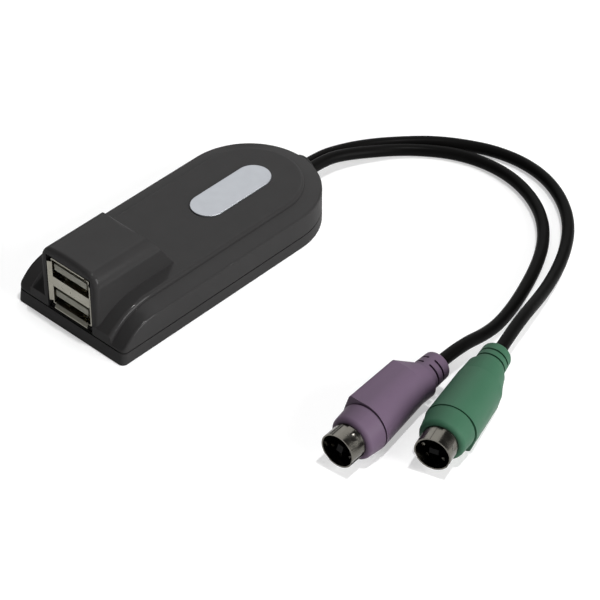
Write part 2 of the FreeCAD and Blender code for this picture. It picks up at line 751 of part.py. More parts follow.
def crystal():
    """Metal can of the crystal, with half-round ends."""
    straight = (CRYSTAL_LENGTH - CRYSTAL_WIDTH) / 2
    half = CRYSTAL_WIDTH / 2
    top = BOARD_TOP + CRYSTAL_HEIGHT
    can = box(-straight, straight, CRYSTAL_Y - half, CRYSTAL_Y + half, BOARD_TOP, top)
    ends = [post(half, x, CRYSTAL_Y, BOARD_TOP, top) for x in (-straight, straight)]
    return joined(can, ends)


def on_board(length, width, height, x, y):
    """Block that stands on the board, its length along Y."""
    block = Part.makeBox(width, length, height)
    block.translate(V(x - width / 2, y - length / 2, BOARD_TOP))
    return block


def capacitors():
    """Two block capacitors beside the crystal."""
    size = (CAPACITOR_LENGTH, CAPACITOR_WIDTH, CAPACITOR_HEIGHT)
    return Part.makeCompound([on_board(*size, x, CAPACITOR_Y) for x in (-CAPACITOR_X, CAPACITOR_X)])


def resistors():
    """A row of chip resistors on each side of the controller."""
    size = (RESISTOR_LENGTH, RESISTOR_WIDTH, RESISTOR_HEIGHT)
    rows = []
    for x in (-RESISTOR_X, RESISTOR_X):
        for index in range(RESISTOR_COUNT):
            y = CHIP_Y + (index - (RESISTOR_COUNT - 1) / 2) * RESISTOR_PITCH
            rows.append(on_board(*size, x, y))
    return Part.makeCompound(rows)


def header_rear():
    """Face of the header that the wires enter."""
    return BOARD_REAR_Y - HEADER_REAR_GAP


def cable_header():
    """Block on the board that takes the wires of both cords."""
    half = HEADER_WIDTH / 2
    rear = header_rear()
    return box(-half, half, rear - HEADER_DEPTH, rear, BOARD_TOP, BOARD_TOP + HEADER_HEIGHT)


def flange_rear():
    """Face of the grommet's flange that lies against the rear wall inside."""
    inside = HALF_WIDTH - CASE_WALL
    return REAR_Y - HALF_WIDTH + math.sqrt(inside ** 2 - (GROMMET_FLANGE / 2) ** 2) - GROMMET_GAP


def flange_front():
    """Face of the grommet that the wires come out of, inside the case."""
    return flange_rear() - GROMMET_FLANGE_THICKNESS


def cord_wires(side):
    """Wires of one cord, from the grommet to the header."""
    wires = []
    for column in range(WIRES_PER_ROW):
        x = side * (WIRE_PITCH / 2 + column * WIRE_PITCH)
        for row in range(2):
            z = BOARD_TOP + WIRE_LOW_ROW + row * WIRE_ROW_PITCH
            wires.append(rod(WIRE_DIAMETER / 2, x, z, header_rear(), flange_front()))
    return Part.makeCompound(wires)


def cable_grommet():
    """Moulded grommet: a flange inside, a neck through the rear wall and a collar outside."""
    half = GROMMET_FLANGE / 2
    low = CASE_FLOOR + GROMMET_GAP
    high = SIDE_HEIGHT - CASE_ROOF - GROMMET_GAP
    flange = box(-half, half, flange_front(), flange_rear(), low, high)
    neck = rod(GROMMET_NECK / 2, 0, GROMMET_HEIGHT, flange_rear(), GROMMET_END_Y - PAST)
    collar = rod(GROMMET_COLLAR / 2, 0, GROMMET_HEIGHT, REAR_Y + GROMMET_GAP, GROMMET_END_Y)
    edges = [e for e in collar.Edges if e.BoundBox.YMin > GROMMET_END_Y - MATCH]
    return joined(flange, [neck, collar.makeFillet(GROMMET_ROUND, edges)])


def plug_section(at, radius, rise, flat_height, flat_half, corner):
    """Closed section across a grip: round below, with a flat on top and tangent sides."""
    cx = flat_half - corner
    cz = flat_height - corner
    apart = math.hypot(cx, cz - rise)
    lean = math.atan2(cz - rise, cx) - math.acos((radius - corner) / apart)
    touch = V(radius * math.cos(lean), at, rise + radius * math.sin(lean))
    shoulder = V(cx + corner * math.cos(lean), at, cz + corner * math.sin(lean))
    middle = (lean + math.pi / 2) / 2
    turn = V(cx + corner * math.cos(middle), at, cz + corner * math.sin(middle))
    top = V(cx, at, flat_height)
    low = V(0, at, rise - radius)
    side = (lean - math.pi / 2) / 2
    flank = V(radius * math.cos(side), at, rise + radius * math.sin(side))
    edges = [
        arc(low, flank, touch),
        line(touch, shoulder),
        arc(shoulder, turn, top),
        line(top, mirrored(top)),
        arc(mirrored(top), mirrored(turn), mirrored(shoulder)),
        line(mirrored(shoulder), mirrored(touch)),
        arc(mirrored(touch), mirrored(flank), low),
    ]
    return Part.Wire(edges)


def grip_stations():
    """Sections of the grip: at its front, where the flat ends, and where the slope ends."""
    flat = (FLAT_HEIGHT, FLAT_WIDTH / 2, FLAT_CORNER)
    corner = SLOPE_END_CORNER
    reach = (1 + SLOPE_END_SWELL) * (SLOPE_END_RADIUS - corner)
    angle = math.radians(SLOPE_END_ANGLE)
    end_flat = (reach * math.sin(angle) + corner, reach * math.cos(angle) + corner, corner)
    return [
        plug_section(GRIP_START, GRIP_FRONT_RADIUS, GRIP_FRONT_RISE, *flat),
        plug_section(GRIP_END, GRIP_REAR_RADIUS, GRIP_REAR_RISE, *flat),
        plug_section(RELIEF_START, SLOPE_END_RADIUS, 0, *end_flat),
    ]


def turned(profile):
    """Solid turned about the plug's axis from (distance, radius) points."""
    points = [V(radius, at, 0) for at, radius in profile]
    closing = [V(0, profile[-1][0], 0), V(0, profile[0][0], 0)]
    ring = Part.makePolygon(points + closing + points[:1])
    return Part.Face(ring).revolve(V(0, 0, 0), V(0, 1, 0), 360)


def plug_core():
    """Turned parts of the grip: nose ring, groove, core and strain relief."""
    inner = NOSE_REAR_RADIUS - NOSE_GROOVE_DEPTH
    nose = turned([(SHELL_SHOWN, NOSE_FRONT_RADIUS), (NOSE_END, NOSE_REAR_RADIUS)])
    front = [e for e in round_edges(nose) if e.BoundBox.YMax < SHELL_SHOWN + MATCH]
    nose = nose.makeFillet(NOSE_ROUND, front)
    core = turned([(NOSE_END - PAST, inner), (GRIP_START + PAST, inner)])
    tail = [(RELIEF_START, RELIEF_RADIUS), (PLUG_LENGTH, RELIEF_END_RADIUS)]
    relief = turned([(GRIP_END, RELIEF_RADIUS)] + tail)
    tip = [e for e in round_edges(relief) if e.BoundBox.YMin > PLUG_LENGTH - MATCH]
    return [nose, core, relief.makeFillet(RELIEF_ROUND, tip)]


def round_edges(shape):
    """Edges that run right round a turned piece."""
    return [e for e in shape.Edges if e.Closed]


def relief_grooves():
    """Grooves round the strain relief, broken by a spine at each side, the first on the round half only."""
    grooves = []
    reach = SLOPE_END_RADIUS + PAST
    spine = (RELIEF_SPINE_HEIGHT - RELIEF_SPINE / 2, RELIEF_SPINE_HEIGHT + RELIEF_SPINE / 2)
    for index in range(RELIEF_GROOVES):
        y0 = RELIEF_START + RELIEF_GROOVE_START + index * RELIEF_GROOVE_PITCH
        y1 = y0 + RELIEF_GROOVE_WIDTH
        ring = rod(reach, 0, 0, y0, y1).cut(rod(RELIEF_CORE, 0, 0, y0 - PAST, y1 + PAST))
        low, high = spine if index else (-RELIEF_CORE / 2, reach)
        grooves.append(ring.cut(box(-reach, reach, y0 - PAST, y1 + PAST, low, high)))
    return grooves


def grip_body():
    """Grip between the nose and the strain relief, its corners bevelled at the front by a cone."""
    front, middle, rear = grip_stations()
    body = Part.makeLoft([front, middle], True, True)
    near = NOSE_REAR_RADIUS + GRIP_BEVEL_STEP
    far = near + GRIP_BEVEL_RISE
    full = GRIP_START + GRIP_BEVEL_LENGTH
    bevel = turned([(GRIP_START, near), (full, far), (GRIP_END, far)])
    return [body.common(bevel), Part.makeLoft([middle, rear], True, True)]


def plug_grip():
    """Moulded grip of a plug, from its nose to its strain relief."""
    core = plug_core()
    grip = joined(core[0], core[1:] + grip_body())
    bore = rod(NECK_RADIUS + PLUG_FIT_GAP, 0, 0, SHELL_SHOWN - PAST, SHELL_END)
    return without(grip, [bore] + relief_grooves())


def plug_shell():
    """Metal shell of a plug, stepped in where the nose holds it, with keying grooves and dimples."""
    shell = rod(SHELL_RADIUS, 0, 0, 0, SHELL_SHOWN - SHELL_STEP)
    shell = joined(shell, [rod(NECK_RADIUS, 0, 0, PAST, SHELL_END)])
    cuts = [rod(SHELL_RADIUS - SHELL_WALL, 0, 0, -PAST, SHELL_END + PAST)]
    ball = ((DIMPLE_LENGTH / 2) ** 2 + DIMPLE_DEPTH ** 2) / (2 * DIMPLE_DEPTH)
    for angle in DIMPLE_ANGLES:
        dimple = Part.makeSphere(ball, V(SHELL_RADIUS - DIMPLE_DEPTH + ball, 0, 0))
        dimple.rotate(V(0, 0, 0), V(0, 1, 0), -angle)
        dimple.translate(V(0, SHELL_SHOWN - DIMPLE_FROM_NOSE, 0))
        cuts.append(dimple)
    half = SHELL_KEY_WIDTH / 2
    floor = SHELL_RADIUS - SHELL_KEY_DEPTH
    for angle in SHELL_KEY_ANGLES:
        key = box(floor, SHELL_RADIUS + PAST, -PAST, SHELL_SHOWN, -half, half)
        key.rotate(V(0, 0, 0), V(0, 1, 0), -angle)
        cuts.append(key)
    return without(shell, cuts)


def pin_places():
    """Pins' places across the plug."""
    angles = [math.radians(angle) for angle in PIN_ANGLES]
    return [(PIN_CIRCLE * math.cos(angle), PIN_CIRCLE * math.sin(angle)) for angle in angles]


def plug_insulator():
    """Plastic core inside the metal shell, with a key and seats for the pins."""
    radius = SHELL_RADIUS - SHELL_WALL - PLUG_FIT_GAP
    core = rod(radius, 0, 0, INSULATOR_SETBACK, SHELL_END)
    half = KEY_WIDTH / 2
    high = KEY_HEIGHT / 2
    key = box(-half, half, KEY_SETBACK, INSULATOR_SETBACK + PAST, -high, high)
    core = joined(core, [key])
    hole = PIN_DIAMETER / 2 + PLUG_FIT_GAP
    mouth = INSULATOR_SETBACK - PAST
    floor = INSULATOR_SETBACK + PIN_SEAT
    return without(core, [rod(hole, x, z, mouth, floor) for x, z in pin_places()])


def plug_pins():
    """Six contact pins."""
    end = INSULATOR_SETBACK + PIN_SEAT
    return Part.makeCompound([rod(PIN_DIAMETER / 2, x, z, PIN_SETBACK, end) for x, z in pin_places()])


def plug_placement(mouth, heading, roll, height):
    """Where a plug lies: turned in plan, rolled about its axis and resting on the table."""
    turn = FreeCAD.Rotation(V(0, 0, 1), heading)
    spin = FreeCAD.Rotation(V(0, 1, 0), roll)
    return FreeCAD.Placement(V(mouth[0], REAR_Y + mouth[1], height), turn.multiply(spin))


def keyboard_plug_place():
    """The keyboard plug lies on its round side, with its flat turned away from the mouse plug."""
    rise = GRIP_FRONT_RISE * math.cos(math.radians(KEYBOARD_PLUG_ROLL))
    depth = max(NOSE_REAR_RADIUS, GRIP_FRONT_RADIUS - rise)
    return plug_placement(KEYBOARD_PLUG_MOUTH, KEYBOARD_PLUG_HEADING, KEYBOARD_PLUG_ROLL, depth)


def mouse_plug_place():
    """The mouse plug lies on its flat."""
    return plug_placement(MOUSE_PLUG_MOUTH, MOUSE_PLUG_HEADING, MOUSE_PLUG_ROLL, FLAT_HEIGHT)


def cord_route(leave, exit_run, between, plug, tail_run):
    """Route points of a cord: square out of the grommet, over the table, and in line with the plug."""
    start = leave + V(0, GROMMET_END_Y, GROMMET_HEIGHT)
    middle = [V(x, REAR_Y + y, z) for x, y, z in between]
    last = plug.multVec(V(0, PLUG_LENGTH + tail_run, 0))
    end = plug.multVec(V(0, PLUG_LENGTH, 0))
    return [start, start + V(0, exit_run, 0)] + middle + [last, end]


def keyboard_route():
    """Route of the keyboard plug's cord, its bends measured from the rear of the case."""
    between = [
        (3.3, 14.1, 3.7),
        (6.2, 20.4, 2.6),
        (10.3, 26.8, 1.9),
        (15.6, 31.9, 1.6),
        (22.3, 35.9, 1.7),
        (30.5, 38.3, 1.6),
        (39.5, 38.0, 1.7),
        (48.2, 35.2, 1.6),
        (55.8, 30.2, 1.7),
        (61.9, 23.4, 1.6),
        (66.5, 15.2, 1.7),
        (70.3, 5.7, 1.7),
        (73.5, -3.9, 2.1),
        (75.9, -13.9, 3.5),
    ]
    run = KEYBOARD_EXIT_RUN
    return cord_route(KEYBOARD_EXIT, run, between, keyboard_plug_place(), KEYBOARD_TAIL_RUN)


def mouse_route():
    """Route of the mouse plug's cord, outside the other one."""
    between = [
        (0.3, 16.0, 2.7),
        (3.4, 23.2, 2.0),
        (8.2, 29.8, 1.6),
        (14.2, 35.7, 1.7),
        (21.2, 40.4, 1.6),
        (29.2, 43.8, 1.7),
        (37.8, 45.1, 1.6),
        (46.5, 43.6, 1.7),
        (54.8, 39.5, 1.6),
        (62.1, 33.1, 1.7),
        (67.7, 25.0, 1.6),
        (72.3, 15.1, 1.9),
        (76.1, 4.9, 3.5),
        (79.4, -5.0, 6.0),
    ]
    return cord_route(MOUSE_EXIT, MOUSE_EXIT_RUN, between, mouse_plug_place(), MOUSE_TAIL_RUN)


def cord_path(route):
    """Straight runs joined by tangent arcs as large as the runs allow, and the arcs' radii."""
    edges = []
    radii = []
    last = route[0]
    for before, corner, after in zip(route, route[1:], route[2:]):
        back = (before - corner).normalize()
        ahead = (after - corner).normalize()
        share = CORD_ARC_SHARE * min(before.distanceToPoint(corner), corner.distanceToPoint(after))
        half_turn = (math.pi - back.getAngle(ahead)) / 2
        radius = share / math.tan(half_turn)
        start = corner + back * share
        end = corner + ahead * share
        inwards = (back + ahead).normalize()
        middle = corner + inwards * (radius / math.cos(half_turn) - radius)
        edges += [line(last, start), arc(start, middle, end)]
        radii.append(radius)
        last = end
    edges.append(line(last, route[-1]))
    return Part.Wire(edges), radii


def cord(name, route):
    """Tube along a cord's route."""
    path, radii = cord_path(route)
    ring = Part.Wire([Part.Circle(route[0], route[1] - route[0], CORD_DIAMETER / 2).toShape()])
    tube = path.makePipeShell([ring], True, False)
    section = math.pi * CORD_DIAMETER ** 2 / 4
    print(name, "arc radii", [round(radius, 1) for radius in radii])
    print(name, "length", round(path.Length, 2), "volume over section", round(tube.Volume / section, 2))
    return tube


def plug_nodes(name, placement):
    """Pieces of one plug, laid where the plug lies."""
    pieces = {"grip": plug_grip(), "shell": plug_shell()}
    pieces.update({"insulator": plug_insulator(), "pins": plug_pins()})
    placed = {}
    for kind, piece in pieces.items():
        moved = piece.copy()
        moved.transformShape(placement.toMatrix(), True)
        placed[name + "_plug_" + kind] = moved
    return placed


def all_nodes():
    """Every piece of the adapter by name."""
    nodes = {
        "upper_shell": upper_shell(),
        "lower_shell": lower_shell(),
        "badge": badge(),
        "case_screws": case_screws(),
        "circuit_board": circuit_board(),
        "usb_shield": usb_shield(),
        "usb_insulator": usb_insulator(),
        "usb_contacts": usb_contacts(),
        "controller_chip": controller_chip(),
        "chip_leads": chip_leads(),
        "crystal": crystal(),
        "capacitors": capacitors(),
        "resistors": resistors(),
        "cable_header": cable_header(),
        "keyboard_wires": cord_wires(1),
        "mouse_wires": cord_wires(-1),
        "cable_grommet": cable_grommet(),
        "keyboard_cord": cord("keyboard cord", keyboard_route()),
        "mouse_cord": cord("mouse cord", mouse_route()),
    }
    nodes.update(plug_nodes("keyboard", keyboard_plug_place()))
    nodes.update(plug_nodes("mouse", mouse_plug_place()))
    return nodes


def main():
    """Writes one STEP file for each node."""
    os.makedirs("parts", exist_ok=True)
    for name, shape in all_nodes().items():
        shape.exportStep(os.path.join("parts", name + ".step"))
        print(name, "solids", len(shape.Solids), "volume", round(shape.Volume, 2), "valid", shape.isValid())


main()
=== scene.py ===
import logging
import math
from dataclasses import dataclass
from enum import Enum

import bpy
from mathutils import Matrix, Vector


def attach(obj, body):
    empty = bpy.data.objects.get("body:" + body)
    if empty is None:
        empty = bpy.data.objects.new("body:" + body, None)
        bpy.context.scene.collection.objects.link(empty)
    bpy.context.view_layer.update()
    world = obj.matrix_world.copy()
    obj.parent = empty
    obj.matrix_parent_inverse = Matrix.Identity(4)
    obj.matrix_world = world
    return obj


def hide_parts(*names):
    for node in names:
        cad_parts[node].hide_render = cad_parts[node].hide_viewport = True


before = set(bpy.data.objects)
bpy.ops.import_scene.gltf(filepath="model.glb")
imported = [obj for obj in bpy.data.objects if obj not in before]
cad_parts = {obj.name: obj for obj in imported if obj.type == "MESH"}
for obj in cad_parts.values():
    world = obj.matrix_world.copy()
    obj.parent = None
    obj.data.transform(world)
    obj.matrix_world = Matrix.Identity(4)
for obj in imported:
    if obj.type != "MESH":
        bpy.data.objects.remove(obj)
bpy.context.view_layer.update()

# Keyboard and mouse adapter: a low charcoal case with stacked sockets under a raised hood, a silver
# plate on top, and two black cords that end in a purple and a green round plug on the table.
# Metres throughout, +Z up, sockets towards -Y, cords towards +Y.

MM = 0.001
ROOT = "root"
LOG = logging.getLogger("adapter")

Colour = tuple[float, float, float]
Point = tuple[float, float, float]


class Slot(Enum):
    """Material slots of the record that the pieces take their finishes from."""

    CASE = "case"
    BADGE = "badge"
    SCREW = "screw"
    BOARD = "board"
    SOCKET_METAL = "socket_metal"
    SOCKET_PLASTIC = "socket_plastic"
    GOLD = "gold"
    CHIP = "chip"
    TIN = "tin"
    CAPACITOR = "capacitor"
    HEADER = "header"
    KEYBOARD_WIRE = "keyboard_wire"
    MOUSE_WIRE = "mouse_wire"
    GROMMET = "grommet"
    CORD = "cord"
    PURPLE_GRIP = "purple_grip"
    GREEN_GRIP = "green_grip"
    PLUG_METAL = "plug_metal"
    PLUG_INSULATOR = "plug_insulator"


class Shading:
    """Node tree of one material, with short calls for the nodes that the finishes share."""

    # Range that most of a noise lies in
    NOISE_LOW = 0.3
    NOISE_HIGH = 0.7

    def __init__(self, name: str) -> None:
        """Starts a material with a principled shader on its output.

        Args:
            name: Name of the material.
        """
        self.material = bpy.data.materials.new(name)
        self.material.use_nodes = True
        self.tree = self.material.node_tree
        self.tree.nodes.clear()
        output = self.tree.nodes.new("ShaderNodeOutputMaterial")
        self.shader = self.tree.nodes.new("ShaderNodeBsdfPrincipled")
        self.link(self.shader.outputs["BSDF"], output.inputs["Surface"])
        self.place = self.tree.nodes.new("ShaderNodeTexCoord").outputs["Object"]

    def link(self, source: bpy.types.NodeSocket, target: bpy.types.NodeSocket) -> None:
        """Joins one node's output to another's input."""
        self.tree.links.new(source, target)

    def drive(self, name: str, source: bpy.types.NodeSocket) -> None:
        """Joins a node's output to one of the shader's inputs."""
        self.link(source, self.shader.inputs[name])

    def fixed(self, **values: float) -> None:
        """Sets shader inputs that are the same all over, with underscores for spaces."""
        for name, value in values.items():
            self.shader.inputs[name.replace("_", " ")].default_value = value

    def stretched(self, stretch: Point) -> bpy.types.NodeSocket:
        """Object coordinates scaled differently along each axis.

        Args:
            stretch: Scale along X, Y and Z.

        Returns:
            Socket with the scaled coordinates.
        """
        mapping = self.tree.nodes.new("ShaderNodeMapping")
        mapping.inputs["Scale"].default_value = stretch
        self.link(self.place, mapping.inputs["Vector"])
        return mapping.outputs["Vector"]

    def noise(
        self, size: float, detail: float = 2.0, place: bpy.types.NodeSocket | None = None
    ) -> bpy.types.NodeSocket:
        """Noise with features of a real size.

        Args:
            size: Size of the features in metres.
            detail: Number of finer layers.
            place: Coordinates to read, or None for the object's own.

        Returns:
            Socket with the noise from 0 to 1.
        """
        node = self.tree.nodes.new("ShaderNodeTexNoise")
        node.inputs["Scale"].default_value = 1.0 / size
        node.inputs["Detail"].default_value = detail
        self.link(self.place if place is None else place, node.inputs["Vector"])
        return node.outputs["Fac"]

    def spread(
        self, factor: bpy.types.NodeSocket, low: float, high: float
    ) -> bpy.types.NodeSocket:
        """Maps the middle of a noise onto a range.

        Args:
            factor: Noise from 0 to 1.
            low: Value where the noise is low.
            high: Value where the noise is high.

        Returns:
            Socket with the mapped value.
        """
        node = self.tree.nodes.new("ShaderNodeMapRange")
        node.inputs["From Min"].default_value = self.NOISE_LOW
        node.inputs["From Max"].default_value = self.NOISE_HIGH
        node.inputs["To Min"].default_value = low
        node.inputs["To Max"].default_value = high
        self.link(factor, node.inputs["Value"])
        return node.outputs["Result"]

    def blend(
        self, factor: bpy.types.NodeSocket, first: Colour, second: Colour
    ) -> bpy.types.NodeSocket:
        """Mixes two colours by a factor.

        Args:
            factor: Share of the second colour.
            first: Colour at factor 0.
            second: Colour at factor 1.

        Returns:
            Socket with the mixed colour.
        """
        node = self.tree.nodes.new("ShaderNodeMix")
        node.data_type = "RGBA"
        colours = [s for s in node.inputs if s.type == "RGBA"]
        colours[0].default_value = (*first, 1.0)
        colours[1].default_value = (*second, 1.0)
        self.link(factor, node.inputs["Factor"])
        return next(s for s in node.outputs if s.type == "RGBA")

    def bump(
        self,
        height: bpy.types.NodeSocket,
        depth: float,
        under: bpy.types.NodeSocket | None = None,
    ) -> bpy.types.NodeSocket:
        """Relief of a real depth.

        Args:
            height: Height from 0 to 1.
            depth: Depth of the relief in metres.
            under: Normal of a coarser relief below this one.

        Returns:
            Socket with the bumped normal.
        """
        node = self.tree.nodes.new("ShaderNodeBump")
        node.inputs["Distance"].default_value = depth
        self.link(height, node.inputs["Height"])
        if under is not None:
            self.link(under, node.inputs["Normal"])
        return node.outputs["Normal"]


def shade(colour: Colour, factor: float) -> Colour:
    """The same colour, lighter or darker.

    Args:
        colour: Linear colour.
        factor: Brightness compared with that colour.

    Returns:
        The changed colour.
    """
    return tuple(min(channel * factor, 1.0) for channel in colour)


@dataclass(frozen=True)
class Moulding:
    """Moulded plastic or rubber with a fine grain, slight mottling and an uneven gloss.

    The coat is a thin skin that is glossier than the plastic below it.
    """

    name: str
    colour: Colour
    roughness: float
    patch: float = 6 * MM
    mottle: float = 0.08
    uneven: float = 0.04
    grain: float = 0.18 * MM
    depth: float = 0.006 * MM
    specular: float = 0.5
    coat: float = 0.0

    def material(self) -> bpy.types.Material:
        """Builds the material.

        Returns:
            The new material.
        """
        shading = Shading(self.name)
        cloud = shading.noise(self.patch, detail=3.0)
        speck = shading.noise(self.grain, detail=1.0)
        low = shade(self.colour, 1.0 - self.mottle)
        high = shade(self.colour, 1.0 + self.mottle)
        gloss = shading.spread(cloud, self.roughness - self.uneven, self.roughness + self.uneven)
        relief = shading.bump(speck, self.depth)
        shading.drive("Base Color", shading.blend(cloud, low, high))
        shading.drive("Roughness", gloss)
        shading.drive("Normal", relief)
        shading.drive("Coat Normal", relief)
        shading.fixed(Specular_IOR_Level=self.specular)
        shading.fixed(Coat_Weight=self.coat, Coat_Roughness=self.roughness / 2)
        return shading.material


@dataclass(frozen=True)
class Plating:
    """Plated or drawn metal with fine drawn lines and a little tarnish."""

    name: str
    colour: Colour
    roughness: float
    patch: float = 2.5 * MM
    tarnish: float = 0.2
    line: float = 0.12 * MM
    stretch: Point = (1.0, 0.08, 1.0)
    depth: float = 0.002 * MM

    def material(self) -> bpy.types.Material:
        """Builds the material.

        Returns:
            The new material.
        """
        shading = Shading(self.name)
        cloud = shading.noise(self.patch, detail=4.0)
        drawn = shading.noise(self.line, detail=2.0, place=shading.stretched(self.stretch))
        dull = shade(self.colour, 1.0 - self.tarnish)
        uneven = self.tarnish / 3
        gloss = shading.spread(cloud, self.roughness + uneven, self.roughness - uneven)
        shading.drive("Base Color", shading.blend(cloud, dull, self.colour))
        shading.drive("Roughness", gloss)
        shading.drive("Normal", shading.bump(drawn, self.depth))
        shading.fixed(Metallic=1.0)
        return shading.material


@dataclass(frozen=True)
class Jacket:
    """Soft cord jacket: dark, with a dull sheen and faint flow waves under a fine skin."""

    name: str
    colour: Colour
    roughness: float
    patch: float = 9 * MM
    darkest: float = 0.85
    palest: float = 1.2
    uneven: float = 0.05
    wave: float = 5 * MM
    wave_depth: float = 0.05 * MM
    skin: float = 0.25 * MM
    skin_depth: float = 0.002 * MM
    specular: float = 0.03

    def material(self) -> bpy.types.Material:
        """Builds the material.

        Returns:
            The new material.
        """
        shading = Shading(self.name)
        cloud = shading.noise(self.patch, detail=3.0)
        low = shade(self.colour, self.darkest)
        high = shade(self.colour, self.palest)
        gloss = shading.spread(cloud, self.roughness - self.uneven, self.roughness + self.uneven)
        waves = shading.bump(shading.noise(self.wave, detail=1.0), self.wave_depth)
        relief = shading.bump(shading.noise(self.skin, detail=2.0), self.skin_depth, waves)
        shading.drive("Base Color", shading.blend(cloud, low, high))
        shading.drive("Roughness", gloss)
        shading.drive("Normal", relief)
        shading.fixed(Specular_IOR_Level=self.specular)
        return shading.material


@dataclass(frozen=True)
class SolderMask:
    """Lacquered board with copper tracks that show through as paler lines.

    The tracks' width and length are in pitches.
    """

    name: str
    colour: Colour
    track: Colour
    pitch: float = 1.27 * MM
    track_width: float = 0.08
    track_length: float = 6.0
    darkest: float = 0.85
    depth: float = 0.03 * MM
    roughness: float = 0.3

    def material(self) -> bpy.types.Material:
        """Builds the material.

        Returns:
            The new material.
        """
        shading = Shading(self.name)
        tracks = shading.tree.nodes.new("ShaderNodeTexBrick")
        tracks.inputs["Color1"].default_value = (*self.colour, 1.0)
        tracks.inputs["Color2"].default_value = (*shade(self.colour, self.darkest), 1.0)
        tracks.inputs["Mortar"].default_value = (*self.track, 1.0)
        tracks.inputs["Scale"].default_value = 1.0 / self.pitch
        tracks.inputs["Mortar Size"].default_value = self.track_width
        tracks.inputs["Brick Width"].default_value = self.track_length
        tracks.inputs["Row Height"].default_value = 1.0
        shading.link(shading.place, tracks.inputs["Vector"])
        shading.drive("Base Color", tracks.outputs["Color"])
        shading.drive("Normal", shading.bump(tracks.outputs["Fac"], self.depth))
        shading.fixed(Roughness=self.roughness)
        return shading.material


Finish = Moulding | Plating | Jacket | SolderMask

# The case's faint highlights come from its coat alone, so that its flat faces stay dark
FINISHES: dict[Slot, Finish] = {
    Slot.CASE: Moulding(
        "charcoal_case",
        (0.029, 0.0283, 0.0284),
        0.25,
        depth=0.001 * MM,
        specular=0.0,
        coat=0.16,
    ),
    Slot.BADGE: Plating("satin_badge", (0.4, 0.415, 0.44), 0.5, tarnish=0.05),
    Slot.SCREW: Plating("zinc_screw", (0.45, 0.45, 0.46), 0.35),
    Slot.BOARD: SolderMask("green_board", (0.008, 0.07, 0.022), (0.02, 0.14, 0.05)),
    Slot.SOCKET_METAL: Plating("socket_nickel", (0.27, 0.26, 0.22), 0.3),
    Slot.SOCKET_PLASTIC: Moulding("socket_tongue", (0.3, 0.295, 0.245), 0.5, specular=0.2),
    Slot.GOLD: Plating("contact_gold", (0.83, 0.6, 0.22), 0.25),
    Slot.CHIP: Moulding("chip_black", (0.012, 0.012, 0.013), 0.55),
    Slot.TIN: Plating("bright_tin", (0.66, 0.66, 0.67), 0.3),
    Slot.CAPACITOR: Moulding("capacitor_amber", (0.5, 0.25, 0.04), 0.45),
    Slot.HEADER: Moulding("header_white", (0.7, 0.68, 0.62), 0.5),
    Slot.KEYBOARD_WIRE: Moulding("red_insulation", (0.3, 0.012, 0.012), 0.45),
    Slot.MOUSE_WIRE: Moulding("blue_insulation", (0.012, 0.04, 0.26), 0.45),
    Slot.GROMMET: Moulding("charcoal_grommet", (0.016, 0.016, 0.0162), 0.5, specular=0.12),
    Slot.CORD: Jacket("black_jacket", (0.0034, 0.0033, 0.0032), 0.4),
    Slot.PURPLE_GRIP: Moulding(
        "purple_grip", (0.103, 0.0705, 0.108), 0.5, mottle=0.05, specular=0.1
    ),
    Slot.GREEN_GRIP: Moulding(
        "green_grip", (0.034, 0.096, 0.057), 0.5, mottle=0.05, specular=0.1
    ),
    Slot.PLUG_METAL: Plating("plug_nickel", (0.145, 0.138, 0.121), 0.22),
    Slot.PLUG_INSULATOR: Moulding("plug_black", (0.003, 0.003, 0.003), 0.5, specular=0.05),
}


class Workshop:
    """Keeps the finished materials and dresses pieces with them."""

    def __init__(self) -> None:
        """Builds one material for each slot."""
        self.materials = {slot: finish.material() for slot, finish in FINISHES.items()}

    def dress(self, piece: bpy.types.Object, slot: Slot) -> None:
        """Gives a piece the finish of a slot.

        Args:
            piece: Piece or node to dress.
            slot: Slot that the finish belongs to.
        """
        piece.data.materials.clear()
        piece.data.materials.append(self.materials[slot])
        LOG.info("%s dressed as %s", piece.name, slot.value)

    def dress_nodes(self, slots: dict[str, Slot]) -> None:
        """Gives several nodes of the frame their finishes.

        Args:
            slots: Slot of each node by name.
        """
        for node, slot in slots.items():
            self.dress(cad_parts[node], slot)


@dataclass
class Case:
    """The two halves of the case, the plate on top, the screws below and the grommet."""

    workshop: Workshop

    def dress(self) -> None:
        """Gives the case's pieces their finishes."""
        self.workshop.dress_nodes({
            "upper_shell": Slot.CASE,
            "lower_shell": Slot.CASE,
            "badge": Slot.BADGE,
            "case_screws": Slot.SCREW,
            "cable_grommet": Slot.GROMMET,
        })


@dataclass
class Sockets:
    """The stacked sockets: shield, tongues and contacts."""

    workshop: Workshop

    def dress(self) -> None:
        """Gives the sockets' pieces their finishes."""
        self.workshop.dress_nodes({
            "usb_shield": Slot.SOCKET_METAL,
            "usb_insulator": Slot.SOCKET_PLASTIC,
            "usb_contacts": Slot.GOLD,
        })


@dataclass
class Board:
    """The circuit board and what it carries."""

    workshop: Workshop

    def dress(self) -> None:
        """Gives the board's pieces their finishes."""
        self.workshop.dress_nodes({
            "circuit_board": Slot.BOARD,
            "controller_chip": Slot.CHIP,
            "chip_leads": Slot.TIN,
            "crystal": Slot.TIN,
            "capacitors": Slot.CAPACITOR,
            "resistors": Slot.CHIP,
            "cable_header": Slot.HEADER,
            "keyboard_wires": Slot.KEYBOARD_WIRE,
            "mouse_wires": Slot.MOUSE_WIRE,
        })


